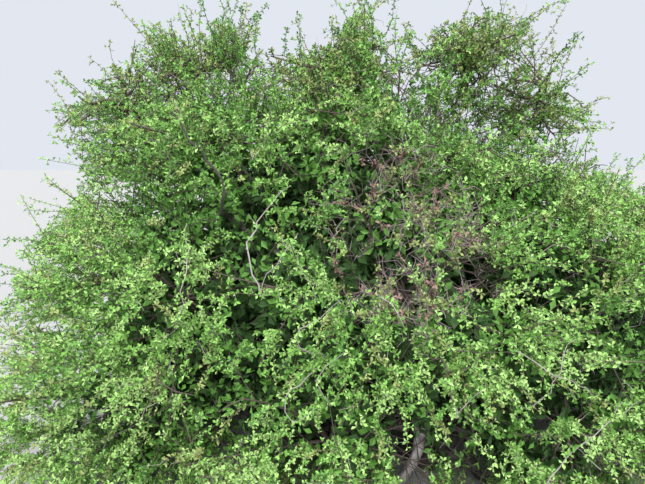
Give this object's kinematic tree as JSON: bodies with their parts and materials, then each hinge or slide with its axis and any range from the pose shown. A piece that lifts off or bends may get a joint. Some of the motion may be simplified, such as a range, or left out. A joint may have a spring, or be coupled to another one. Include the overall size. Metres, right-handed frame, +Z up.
{
  "type": "boxthorn shrub",
  "caption": "Dense, rounded, thorny evergreen shrub with small leaves in tufts on arching grey boughs, rooted in the ground on one short leaning stem.",
  "frame": {"origin": "centre of the flat cut under the stem, at ground level", "axes": "+Z up out of the ground, -Y towards the front of the shrub, +X to its right"},
  "size_m": [4.738, 3.2056, 2.851],
  "materials": {
    "bark": "dark grey-brown, deeply fissured old bark",
    "bark_bough": "grey, finely furrowed bark",
    "leaf_green": "small fleshy leaves, yellow-green to mid green, slightly glossy",
    "leaf_open": "thin leaves on bare thorny twigs, darker olive green"
  },
  "bodies": {
    "root": {"trunk": "bark", "bough_skirt_1": "bark_bough", "bough_skirt_2": "bark_bough", "bough_skirt_3": "bark_bough", "bough_skirt_4": "bark_bough", "bough_skirt_5": "bark_bough", "bough_skirt_6": "bark_bough", "bough_skirt_7": "bark_bough", "bough_side_1": "bark_bough", "bough_side_2": "bark_bough", "bough_side_3": "bark_bough", "bough_side_4": "bark_bough", "bough_side_5": "bark_bough", "bough_side_6": "bark_bough", "bough_side_7": "bark_bough", "bough_shoulder_1": "bark_bough", "bough_shoulder_2": "bark_bough", "bough_shoulder_3": "bark_bough", "bough_shoulder_4": "bark_bough", "bough_shoulder_5": "bark_bough", "bough_top_1": "bark_bough", "bough_top_2": "bark_bough", "bough_top_3": "bark_bough", "bough_hip": "bark_bough", "bough_spray_top": "bark_bough", "bough_spray_tip": "bark_bough", "bough_spray_left": "bark_bough", "foliage_skirt_1": "leaf_green", "foliage_skirt_2": "leaf_green", "foliage_skirt_3": "leaf_green", "foliage_skirt_4": "leaf_green", "foliage_skirt_5": "leaf_green", "foliage_skirt_6": "leaf_green", "foliage_skirt_7": "leaf_green", "foliage_side_1": "leaf_green", "foliage_side_2": "leaf_green", "foliage_side_3": "leaf_green", "foliage_side_4": "leaf_green", "foliage_side_5": "leaf_green", "foliage_side_6": "leaf_green", "foliage_side_7": "leaf_green", "foliage_shoulder_1": "leaf_green", "foliage_shoulder_2": "leaf_green", "foliage_shoulder_3": "leaf_green", "foliage_shoulder_4": "leaf_green", "foliage_shoulder_5": "leaf_green", "foliage_top_1": "leaf_green", "foliage_top_2": "leaf_green", "foliage_top_3": "leaf_green", "foliage_hip": "leaf_green", "foliage_spray_top": "leaf_open", "foliage_spray_tip": "leaf_open", "foliage_spray_left": "leaf_open"}
  },
  "joints": []
}
